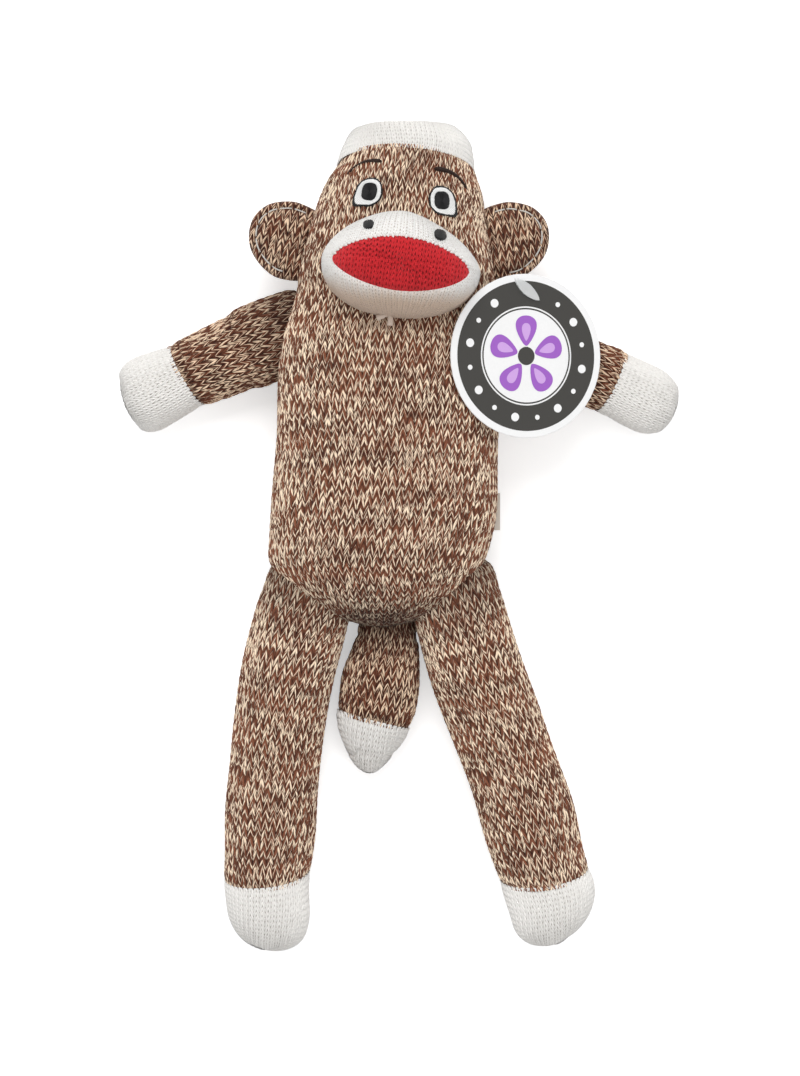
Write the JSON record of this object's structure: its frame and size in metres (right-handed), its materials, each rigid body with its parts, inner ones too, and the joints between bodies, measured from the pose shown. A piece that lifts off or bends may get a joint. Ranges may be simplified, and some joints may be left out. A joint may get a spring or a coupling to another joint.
{
  "type": "sock monkey doll",
  "caption": "Stuffed knit sock monkey doll lying on its back, with hinged head, ears, arms, legs and tail and a round hang tag.",
  "frame": {"origin": "under the middle of the whole doll, on the surface that it lies on", "axes": "+Y from the feet to the crown, +Z out of the chest, +X to the doll's left"},
  "size_m": [0.2242, 0.3313, 0.084],
  "materials": {
    "brown_marl_knit": "matte",
    "white_knit": "matte",
    "red_knit": "matte",
    "black_thread": "satin",
    "white_thread": "satin",
    "brown_thread": "matte",
    "printed_card": "satin",
    "clear_nylon": "gloss",
    "pale_tape": "matte"
  },
  "bodies": {
    "torso": {"torso": "brown_marl_knit", "side_label": "pale_tape", "fastener_stem": "clear_nylon"},
    "head": {"head": "brown_marl_knit", "crown_cap": "white_knit", "muzzle": "white_knit", "mouth_patch": "red_knit", "left_eye_outline": "black_thread", "left_eye_white": "white_thread", "left_pupil": "black_thread", "left_eyebrow": "brown_thread", "left_nostril": "black_thread", "right_eye_outline": "black_thread", "right_eye_white": "white_thread", "right_pupil": "black_thread", "right_eyebrow": "brown_thread", "right_nostril": "black_thread"},
    "left_ear": {"left_ear": "brown_marl_knit"},
    "right_ear": {"right_ear": "brown_marl_knit"},
    "left_arm": {"left_arm": "brown_marl_knit", "left_hand": "white_knit"},
    "right_arm": {"right_arm": "brown_marl_knit", "right_hand": "white_knit"},
    "left_leg": {"left_leg": "brown_marl_knit", "left_foot": "white_knit"},
    "right_leg": {"right_leg": "brown_marl_knit", "right_foot": "white_knit"},
    "tail": {"tail": "brown_marl_knit", "tail_tip": "white_knit"},
    "hang_tag": {"hang_tag": "printed_card", "tag_fastener": "clear_nylon"}
  },
  "joints": [
    {"name": "neck_nod", "type": "hinge", "parent": "torso", "child": "head", "pos_m": [-0.00177, 0.097, 0.0265], "axis": [1, 0, 0], "range_deg": [-30, 0]},
    {"name": "left_ear_fold", "type": "hinge", "parent": "head", "child": "left_ear", "pos_m": [0.04058, 0.10146, 0.0279], "axis": [-0.1345, 0.9909, 0], "range_deg": [-15, 45], "stiffness_Nm_per_rad": 0.01},
    {"name": "right_ear_fold", "type": "hinge", "parent": "head", "child": "right_ear", "pos_m": [-0.04377, 0.10146, 0.0279], "axis": [0.258, 0.9661, 0], "range_deg": [-45, 45], "stiffness_Nm_per_rad": 0.01},
    {"name": "left_shoulder_swing", "type": "hinge", "parent": "torso", "child": "left_arm", "pos_m": [0.0508, 0.07702, 0.0195], "axis": [0, 0, 1], "range_deg": [-40, 55]},
    {"name": "right_shoulder_swing", "type": "hinge", "parent": "torso", "child": "right_arm", "pos_m": [-0.05819, 0.07702, 0.0195], "axis": [0, 0, -1], "range_deg": [-40, 55]},
    {"name": "left_hip_fold", "type": "hinge", "parent": "torso", "child": "left_leg", "pos_m": [0.0255, -0.0355, 0.022], "axis": [-0.9613, -0.2756, 0], "range_deg": [-30, 80]},
    {"name": "right_hip_fold", "type": "hinge", "parent": "torso", "child": "right_leg", "pos_m": [-0.0405, -0.0355, 0.022], "axis": [-0.9613, 0.2756, 0], "range_deg": [-30, 80]},
    {"name": "tail_swing", "type": "hinge", "parent": "torso", "child": "tail", "pos_m": [-0.007, -0.034, 0.01252], "axis": [1, 0, 0], "range_deg": [0, 60]},
    {"name": "hang_tag_lift", "type": "hinge", "parent": "torso", "child": "hang_tag", "pos_m": [0.04864, 0.0983, 0.04242], "axis": [-0.9219, 0, 0.3875], "range_deg": [0, 40]}
  ]
}
